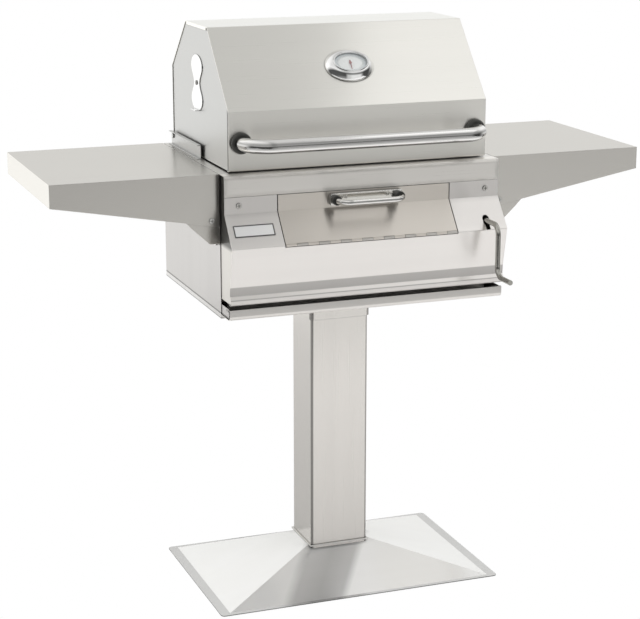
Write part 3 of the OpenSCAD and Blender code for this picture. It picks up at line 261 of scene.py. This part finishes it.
# Charcoal lift: crank, shaft and arms welded into one, with links, stubs and bushes of mild
# steel and a welded pan. All of it works in the heat of the coals and is dark and rough from it.
def smooth(names, angle=0.6):
    """Shades the named pieces smoothly, with their sharp edges kept."""
    bpy.ops.object.select_all(action="DESELECT")
    for name in names:
        bpy.data.objects[name].select_set(True)
        bpy.context.view_layer.objects.active = bpy.data.objects[name]
    bpy.ops.object.shade_smooth_by_angle(angle=angle)


stained = brushed("stained", [0.36, 0.33, 0.3], 0.4, "Y", shade=0.2)
coat(["swing_links", "link_stubs", "shaft_bushes"], stained)
crank_steel = brushed("crank_steel", [0.46, 0.45, 0.42], 0.22, "Z", shade=0.1, smear=0.2)
coat(["crank_and_arms"], crank_steel)
smooth(["crank_and_arms"])
coal_steel = brushed("coal_steel", [0.2, 0.18, 0.165], 0.55, "X", shade=0.25, metal=0.8)
coat(["charcoal_pan"], coal_steel)

# Ash tray, one stainless sheet folded up on four sides, with a full-width front that slides
# under the front panel. Its front is brushed; painted light keeps the rounded foot of the front
# brighter than the face above it, and painted shade darkens the faces that look up.
ash_steel = brushed("ash_steel", [0.88, 0.855, 0.825], 0.31, "X", shade=0.02, streak=0.05, smear=0.9)
# Painted light: the front's rounded foot stays brighter than its face above.
toned(ash_steel, "place", "Z",
      above("ash_tray", [(0.0014, 1.0), (0.0079, 1.0), (0.0099, 0.8), (0.0234, 0.74)]), 0.7, 0.76)
# Painted shade: faces that look up are darkened.
toned(ash_steel, "normal", "Z", [(0.3, 1.0), (0.6, 0.1), (1.0, 0.1)])
coat(["ash_tray"], ash_steel)

# Front panel, one long stainless sheet with a rolled foot, a folded lip, a slanting face and
# an upright band, held by two domed screws, and end caps welded in behind its edges.
panel_steel = brushed("panel_steel", [0.96, 0.93, 0.905], 0.31, "X", shade=0.02, streak=0.05, smear=0.9)
# Painted shade along the panel's height: dark lines at the rolled foot, a darker band on the folded lip,
# and the upright band dimming towards its top.
rolled_foot_shade = [(0.0015, 0.5), (0.0045, 1.0), (0.0105, 1.0), (0.012, 0.5), (0.0135, 0.95)]
folded_lip_shade = [(0.02, 1.0), (0.0215, 0.56), (0.04, 0.62), (0.042, 1.0)]
upright_band_shade = [(0.1295, 1.0), (0.1445, 0.93), (0.1895, 0.92), (0.2005, 0.8)]
toned(panel_steel, "place", "Z", above("front_panel", rolled_foot_shade + folded_lip_shade + upright_band_shade), 0.75, 1.0)
coat(["front_panel"], panel_steel)
end_steel = brushed("end_steel", [0.66, 0.64, 0.61], 0.3, "Z")
# Painted shadow: the caps are darkened above the shelf's bracket, where it shades them.
toned(end_steel, "place", "Z", above("end_cap_left", [(0.12095, 1.0), (0.13095, 0.22)]), 0.7, 1.1)
coat(["end_cap_left", "end_cap_right"], end_steel)
screw_steel = brushed("screw_steel", [0.66, 0.65, 0.62], 0.2, "X", shade=0.03, streak=0.05, crevice_shade=0.92)
# Painted shade: every face of a screw but its front is darkened, as round a head in shade.
toned(screw_steel, "normal", "Y", [(-0.95, 1.0), (-0.8, 0.12), (1.0, 0.12)])
coat(["panel_screws"], screw_steel)

# Trim band above the front, a stainless strip folded over the deck's edge with a wide soft
# bend, whose upper edge catches the light. A painted highlight brightens its top strip too,
# above a faint painted dark line.
trim_steel = brushed("trim_steel", [0.87, 0.845, 0.81], 0.28, "X", shade=0.012, streak=0.03,
                     rounding=0.014, smear=0.6)
# Painted highlight on the top strip, with a faint painted dark line below it.
toned(trim_steel, "place", "Z",
      above("trim_band", [(0.0362, 1.0), (0.0407, 0.9), (0.0432, 1.14), (0.0482, 1.14)]), 0.99, 1.05)
coat(["trim_band"], trim_steel)


# Charcoal door, a stainless panel bent like the front round it, on a barrel hinge along its
# foot. Its handle is a bent, polished rod in black collars, on a shallow plate. A painted
# highlight brightens the plate's rim, painted shade darkens the plate's sides, and painted
# reflections band the rod.
def framed(material, node, rim, rim_colour, field_colour):
    """Colours a plate on the front, with a rim of the given width round its field."""
    tree = material.node_tree
    link = tree.links.new
    plate_low, plate_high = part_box(node)
    parts = add(tree, "ShaderNodeSeparateXYZ")
    link(add(tree, "ShaderNodeTexCoord").outputs["Object"], parts.inputs[0])
    gaps = []
    for axis, at in (("X", 0), ("Z", 2)):
        middle = (plate_low[at] + plate_high[at]) / 2
        half = (plate_high[at] - plate_low[at]) / 2
        away = calc(tree, "ABSOLUTE", calc(tree, "SUBTRACT", parts.outputs[axis], middle))
        gaps.append(calc(tree, "SUBTRACT", half, away))
    inside = add(tree, "ShaderNodeMapRange", {"From Min": rim * 0.8, "From Max": rim * 1.2})
    link(calc(tree, "MINIMUM", *gaps), inside.inputs["Value"])
    tint = add(tree, "ShaderNodeMix", data_type="RGBA")
    tint.inputs["A"].default_value = rim_colour + [1]
    tint.inputs["B"].default_value = field_colour + [1]
    link(inside.outputs["Result"], tint.inputs["Factor"])
    link(tint.outputs["Result"], tree.nodes["Principled BSDF"].inputs["Base Color"])


hinge_steel = brushed("hinge_steel", [0.62, 0.6, 0.57], 0.3, "X", shade=0.05)
coat(["door_hinge_fixed"], hinge_steel)
coat(["door_hinge_pin"], zinc)
door_steel = brushed("door_steel", [0.755, 0.71, 0.655], 0.31, "X", shade=0.02, streak=0.05,
                     smear=0.9, crevice_shade=0.1)
coat(["charcoal_door"], door_steel)
door_plate_steel = brushed("door_plate_steel", [0.8, 0.8, 0.8], 0.12, "X", rounding=0.004, smear=0.3)
# Painted highlight: a bright rim round the plate's duller field.
framed(door_plate_steel, "door_handle_plate", 0.0024, [1.0, 0.99, 0.96], [0.84, 0.825, 0.78])
# Painted shade: the plate's sides are darkened.
toned(door_plate_steel, "normal", "Y", [(-0.8, 1.0), (-0.6, 0.3), (1.0, 0.3)])
coat(["door_handle_plate"], door_plate_steel)
rod_steel = brushed("rod_steel", [0.94, 0.93, 0.91], 0.11, "X", shade=0.03, streak=0.05, smear=0.3)
# Painted reflections: bright and dark bands round the rod, by which way its surface faces.
toned(rod_steel, "normal", "Z",
      [(-0.8, 0.3), (-0.6, 1.0), (-0.4, 0.95), (-0.2, 0.6), (0.1, 0.5), (0.35, 0.55), (0.6, 1.0),
       (0.9, 1.0)])
coat(["door_handle_rod"], rod_steel)
collar_black = brushed("collar_black", [0.03, 0.03, 0.027], 0.42, "Z", shade=0.3, metal=0.0,
                       streak=0.1, rounding=0.0, smear=0.0)
coat(["door_handle_grommets"], collar_black)
smooth(["door_handle_rod", "door_handle_grommets"])

# Name plate, a thin bare metal badge stuck on the left of the front, pale with a printed dark
# rim and no lettering.
plate_steel = brushed("plate_steel", [0.9, 0.9, 0.9], 0.3, "X", shade=0.02, smear=0.5)
framed(plate_steel, "name_plate", 0.0022, [0.12, 0.12, 0.12], [1.0, 1.0, 1.0])
coat(["name_plate"], plate_steel)

# Side shelves and their brackets: 1.5 mm stainless, folded down on three sides and brushed
# along their length, held to the side of the head by polished screws and bolts.
shelf_steel = brushed("shelf_steel", [0.71, 0.69, 0.655], 0.26, "X", shade=0.012, streak=0.03)
# Painted light: the end faces turned to the left are brightened.
toned(shelf_steel, "normal", "X", [(-0.9, 1.12), (-0.8, 1.0)])
coat(["shelf_left", "shelf_right", "shelf_brackets_left", "shelf_brackets_right"], shelf_steel)
polished = brushed("polished", [0.95, 0.94, 0.92], 0.16, "X", shade=0.03, streak=0.05, crevice_shade=0.85)
# Painted shade: the lower sides of the domed heads are darkened.
toned(polished, "normal", "Z", [(-0.5, 0.12), (-0.2, 0.3), (0.1, 1.0)])
coat(["shelf_fasteners"], polished)

# Cooking grids: two welded frames of round stainless rods on cross bars, which lie loose on
# the ledges. Heat has dulled them a little.
grid_steel = brushed("grid_steel", [0.6, 0.58, 0.55], 0.3, "Y", shade=0.12)
coat(["cooking_grid_left", "cooking_grid_right"], grid_steel)

# Hood: one stainless sheet folded round two side plates, brushed from side to side. It turns
# on two zinc-plated pins between rails, and a seam runs down the side plate near its front.
hood_steel = brushed("hood_steel", [0.945, 0.93, 0.885], 0.28, "X", shade=0.012, streak=0.03, smear=0.85)
# Painted light: the shell darkens towards its foot and brightens higher up.
toned(hood_steel, "place", "Z",
      above("hood_shell", [(0.0055, 0.88), (0.0455, 1.0), (0.0855, 1.05), (0.1555, 1.04)]), 1.0, 1.4)
# Painted light by facing: the slope is duller, the top brighter, and the upright front a little darker.
toned(hood_steel, "normal", "Z", [(0.1, 1.0), (0.5, 0.91), (0.8, 0.93), (0.95, 1.06)])
toned(hood_steel, "normal", "Y", [(-0.95, 0.945), (-0.85, 1.0)])
coat(["hood_shell"], hood_steel)
seam_front, seam_back, seam_edge = -0.185, -0.179, 0.0005
hood_side_steel = brushed("hood_side_steel", [0.475, 0.475, 0.467], 0.3, "Y", shade=0.015, streak=0.03)
toned(hood_side_steel, "place", "Y",
      [(seam_front - seam_edge, 1.0), (seam_front, 0.06), (seam_back, 0.06), (seam_back + seam_edge, 1.0)],
      -0.2, -0.17)
coat(["hood_side_left", "hood_side_right", "hood_rail_left", "hood_rail_right"], hood_side_steel)
coat(["hood_hinge_pins"], zinc)

# Hood handle, a bent stainless tube 32 mm thick, polished along its length, bolted on through
# black heat-proof collars.
handle_steel = brushed("handle_steel", [0.94, 0.93, 0.92], 0.13, "X", shade=0.03, streak=0.05, smear=0.3)
# Painted reflections: bright and dark bands round the tube, by which way its surface faces.
toned(handle_steel, "normal", "Z",
      [(-0.8, 0.2), (-0.7, 0.5), (-0.57, 1.05), (-0.47, 1.0), (-0.33, 0.55), (-0.1, 0.42), (0.05, 0.6),
       (0.2, 0.6), (0.3, 0.4), (0.42, 0.42), (0.58, 0.75), (0.7, 1.0), (0.85, 1.0), (1.0, 0.75)])
coat(["hood_handle"], handle_steel)
coat(["handle_grommets"], collar_black)
coat(["handle_bolts"], zinc)
smooth(["hood_handle", "handle_grommets"])

# Thermometer bezel, a chromed oval casting on the hood's front slope. It is lofted from its
# foot over a sloped outer face to a beaded inner edge, by an inset and a rise at each step.
slope_run, slope_rise = 0.153, 0.172
tilt = math.atan2(slope_rise, slope_run)
dial_spot = (0, -0.12009, 1.25934)
half_long, half_wide, foot = 0.0588, 0.0438, 0.0002
was_in, was_up = 0.004, foot
outer_face = [(0.0014, 0.0003), (0.0004, 0.001), (0.0, 0.0022), (0.0005, 0.0038), (0.002, 0.0062),
              (0.0045, 0.0096), (0.0073, 0.013), (0.0102, 0.0158), (0.0128, 0.0176), (0.0146, 0.0184)]
inner_bead = [(0.0155, 0.0185), (0.0159, 0.0181), (0.0163, 0.018), (0.0168, 0.0184), (0.0174, 0.0196),
              (0.0181, 0.0198), (0.0188, 0.0194), (0.0191, 0.0186), (0.0191, 0.0172)]
inner_wall = [(0.0177, 0.017), (0.0177, foot)]
bpy.ops.object.select_all(action="DESELECT")
bpy.ops.mesh.primitive_circle_add(vertices=96, radius=1, fill_type="NOTHING", location=(0, 0, 0))
bezel = bpy.context.object
bezel.name = "bezel"
bezel.scale = (half_long - was_in, half_wide - was_in, 1)
bpy.ops.object.transform_apply(location=True, rotation=False, scale=True)
bpy.ops.object.mode_set(mode="EDIT")
bpy.ops.mesh.select_all(action="SELECT")
bpy.ops.transform.translate(value=(0, 0, foot))
for inset, up in outer_face + inner_bead + inner_wall:
    bpy.ops.mesh.extrude_region_move(TRANSFORM_OT_translate={"value": (0, 0, up - was_up)})
    narrower = ((half_long - inset) / (half_long - was_in), (half_wide - inset) / (half_wide - was_in), 1)
    bpy.ops.transform.resize(value=narrower, center_override=(0, 0, 0))
    was_in, was_up = inset, up
bpy.ops.mesh.select_all(action="DESELECT")
bpy.ops.mesh.select_non_manifold()
bpy.ops.mesh.bridge_edge_loops()
bpy.ops.mesh.select_all(action="SELECT")
bpy.ops.mesh.normals_make_consistent(inside=False)
bpy.ops.object.mode_set(mode="OBJECT")
bezel.rotation_euler = (tilt, 0, 0)
bezel.location = dial_spot
bpy.ops.object.transform_apply(location=True, rotation=True, scale=True)
bpy.ops.object.shade_smooth_by_angle(angle=0.9)
chrome = brushed("chrome", [0.92, 0.92, 0.92], 0.06, "X", shade=0.02, streak=0.03, rounding=0.0,
                 smear=0.0, crevice_shade=0.3)
bezel.data.materials.append(chrome)
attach(bezel, "hood")
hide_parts("thermometer_bezel")

# Thermometer dial, a white enamelled disc with a printed scale of plain marks, under a flat
# glass; a painted shadow of the bezel darkens it towards its edge. Its painted needle turns on
# the stem behind it.
field_half_long, field_half_wide = 0.041, 0.026
marks_round = 36
mark_share = 0.09
scale_radius, scale_reach = 0.76, 0.06
enamel = brushed("enamel", [0.8, 0.8, 0.78], 0.35, "X", shade=0.02, metal=0.0, streak=0.06,
                 rounding=0.0, smear=0.0)
tree = enamel.node_tree
link = tree.links.new
away = add(tree, "ShaderNodeVectorMath", {1: dial_spot}, operation="SUBTRACT")
link(add(tree, "ShaderNodeTexCoord").outputs["Object"], away.inputs[0])
laid = add(tree, "ShaderNodeMapping", {"Rotation": (-tilt, 0, 0)})
link(away.outputs["Vector"], laid.inputs["Vector"])
dial = add(tree, "ShaderNodeVectorMath", {1: (1 / field_half_long, 1 / field_half_wide, 0)},
           operation="MULTIPLY")
link(laid.outputs["Vector"], dial.inputs[0])
radius = add(tree, "ShaderNodeVectorMath", operation="LENGTH")
link(dial.outputs["Vector"], radius.inputs[0])
# Painted shadow of the bezel: the dial darkens to a cool grey towards its edge.
bezel_shadow = add_ramp(tree, [(0.66, (0.82, 0.83, 0.82)), (0.88, (0.6, 0.66, 0.68)), (1.0, (0.3, 0.33, 0.34))])
link(radius.outputs["Value"], bezel_shadow.inputs["Fac"])
across = add(tree, "ShaderNodeSeparateXYZ")
link(dial.outputs["Vector"], across.inputs[0])
angle = calc(tree, "ARCTAN2", across.outputs["Y"], across.outputs["X"])
beat = calc(tree, "PINGPONG", calc(tree, "MULTIPLY", angle, marks_round / math.tau), 0.5)
on_mark = calc(tree, "LESS_THAN", beat, mark_share)
on_scale = calc(tree, "COMPARE", radius.outputs["Value"], scale_radius, scale_reach)
marks = add(tree, "ShaderNodeMix", data_type="RGBA")
marks.inputs["B"].default_value = (0.12, 0.12, 0.12, 1)
link(calc(tree, "MULTIPLY", on_mark, on_scale), marks.inputs["Factor"])
link(bezel_shadow.outputs["Color"], marks.inputs["A"])
link(marks.outputs["Result"], tree.nodes["Principled BSDF"].inputs["Base Color"])
coat(["thermometer_dial"], enamel)
needle_paint = brushed("needle_paint", [0.5, 0.035, 0.03], 0.4, "Y", shade=0.1, metal=0.0, streak=0.06,
                       rounding=0.0, smear=0.0)
coat(["thermometer_needle"], needle_paint)
coat(["thermometer_stem"], zinc)
clear = bpy.data.materials.new("clear_glass")
clear.use_nodes = True
glass = clear.node_tree.nodes["Principled BSDF"]
glass.inputs["Base Color"].default_value = [0.97, 0.99, 1, 1]
glass.inputs["Roughness"].default_value = 0.02
glass.inputs["Alpha"].default_value = 0.12
coat(["thermometer_lens"], clear)

# Vent shutters, cut from polished stainless sheet and turned by a bent tab. Each swings on one
# dull rivet in the middle of the hood's side plate.
shutter_steel = brushed("shutter_steel", [0.86, 0.86, 0.86], 0.16, "Z", shade=0.02)
coat(["vent_shutter_left", "vent_shutter_right"], shutter_steel)
rivet_steel = brushed("rivet_steel", [0.35, 0.34, 0.33], 0.4, "Z", shade=0.1)
coat(["vent_rivets"], rivet_steel)

# Floor of the stage: a pale matt ground 0.5 mm below the grill, which bounces light up into
# the steel and shows as plain white where the camera sees it.
bpy.ops.object.select_all(action="DESELECT")
bpy.ops.mesh.primitive_plane_add(size=1, location=(0, 0.2, -0.0005))
floor = bpy.context.object
floor.name = "floor"
floor.scale = (5.6, 4.6, 1)
pale = bpy.data.materials.new("pale_floor")
pale.use_nodes = True
tree = pale.node_tree
pale_shader = tree.nodes["Principled BSDF"]
pale_shader.inputs["Base Color"].default_value = [0.88, 0.875, 0.875, 1]
pale_shader.inputs["Roughness"].default_value = 0.9


def white_to_camera(tree, shader, white, output):
    """Shows one shader to the camera and the other to everything else."""
    sight = add(tree, "ShaderNodeLightPath")
    choose = add(tree, "ShaderNodeMixShader")
    tree.links.new(sight.outputs["Is Camera Ray"], choose.inputs["Fac"])
    tree.links.new(shader.outputs[0], choose.inputs[1])
    tree.links.new(white.outputs[0], choose.inputs[2])
    tree.links.new(choose.outputs[0], tree.nodes[output].inputs["Surface"])


white = add(tree, "ShaderNodeEmission", {"Color": [1, 1, 1, 1]})
white_to_camera(tree, pale_shader, white, "Material Output")
floor.data.materials.append(pale)

# Sky: soft studio light, set by direction. What the steel mirrors is bright above and behind,
# duller straight ahead, dark low at the sides, and a little brighter from the left.
world = bpy.data.worlds.new("soft_sky")
bpy.context.scene.world = world
world.use_nodes = True
tree = world.node_tree
link = tree.links.new
sky = tree.nodes["Background"]
parts = add(tree, "ShaderNodeSeparateXYZ")
link(add(tree, "ShaderNodeTexCoord").outputs["Generated"], parts.inputs[0])
rise = add(tree, "ShaderNodeMapRange", {"From Min": -1.0})
link(parts.outputs["Z"], rise.inputs["Value"])


def by_height(stops):
    """A warm grey that depends on the height of the direction, from down at 0 to up at 1."""
    ramp = add_ramp(tree, [(at, (level, level, level * 0.985)) for at, level in stops])
    link(rise.outputs["Result"], ramp.inputs["Fac"])
    return ramp.outputs["Color"]


def eased(source, start, end, first=0.0, last=1.0):
    """A number that goes softly from first to last as the source goes from start to end."""
    ease = add(tree, "ShaderNodeMapRange",
               {"From Min": start, "From Max": end, "To Min": first, "To Max": last},
               interpolation_type="SMOOTHSTEP")
    link(source, ease.inputs["Value"])
    return ease.outputs["Result"]


def blended(share, first, second):
    """Mixes two colours, with all of the second where the share is 1."""
    mix = add(tree, "ShaderNodeMix", data_type="RGBA")
    link(share, mix.inputs["Factor"])
    link(first, mix.inputs["A"])
    link(second, mix.inputs["B"])
    return mix.outputs["Result"]


ahead = by_height([(0.0, 0.85), (0.125, 0.9), (0.23, 0.64), (0.35, 0.68), (0.42, 0.56), (0.465, 0.18),
                   (0.54, 0.14), (0.6, 0.35), (0.68, 0.66), (0.85, 0.485), (1.0, 0.53)])
aside = by_height([(0.0, 0.85), (0.14, 0.8), (0.24, 0.25), (0.34, 0.07), (0.55, 0.06), (0.6, 0.35),
                   (0.68, 0.68), (0.85, 0.57), (1.0, 0.62)])
behind = by_height([(0.0, 0.85), (0.3, 0.9), (0.42, 0.92), (0.55, 0.92), (0.66, 0.93), (0.72, 0.98),
                    (0.8, 0.78), (1.0, 0.62)])
# The colours of ahead fill an opening round this direction, between the darker sides.
opening_middle = 0.36
off_opening = calc(tree, "ABSOLUTE", calc(tree, "SUBTRACT", parts.outputs["X"], opening_middle))
brighter_right = eased(parts.outputs["X"], 0.12, 0.34, 0.9, 1.22)
brighter_left = eased(parts.outputs["X"], 0.1, -0.3, 1.0, 1.35)
front = blended(eased(off_opening, 0.26, 0.42), scaled(tree, ahead, brighter_right), aside)
around = blended(eased(parts.outputs["Y"], -0.3, 0.3), front, behind)
link(scaled(tree, around, brighter_left), sky.inputs["Color"])
plain = add(tree, "ShaderNodeBackground", {"Color": [1, 1, 1, 1]})
white_to_camera(tree, sky, plain, "World Output")


# Lamps: a key from the upper right, a fill from the left, and a small card over the right
# shelf, the only one that the steel mirrors.
def lamp(name, power, width, spot, aim, mirrored):
    """Adds a square soft lamp at spot, turned towards aim."""
    data = bpy.data.lights.new(name, "AREA")
    data.energy = power
    data.size = width
    light = bpy.data.objects.new(name, data)
    bpy.context.collection.objects.link(light)
    light.location = spot
    way = [a - b for a, b in zip(aim, spot)]
    level_way = math.hypot(way[0], way[1])
    light.rotation_euler = (math.atan2(level_way, -way[2]), 0, math.atan2(-way[0], way[1]))
    light.visible_glossy = mirrored


lamp("key_lamp", 60, 2.4, (2.6, -2.2, 3.6), (0, 0, 1), False)
lamp("fill_lamp", 30, 2.0, (-3.4, -0.6, 2.2), (0, 0, 1), False)
lamp("card", 4.2, 1.8, (1.6, -0.95, 3.0), (1.6, -0.95, 0), True)

# Camera: a long lens, as in a studio, in front of the grill to its left and above it. Its
# place, pitch and turn were solved from the outline of the head, the post and the base.
lens = bpy.data.cameras.new("camera")
lens.sensor_width = 36
lens.lens = 103.17
lens.clip_end = 50
camera = bpy.data.objects.new("camera", lens)
bpy.context.collection.objects.link(camera)
camera.location = (-1.5326, -4.0309, 1.7705)
camera.rotation_euler = (math.radians(75.5), 0, math.radians(-20.5))
bpy.context.scene.camera = camera
bpy.context.scene.view_settings.view_transform = "Standard"
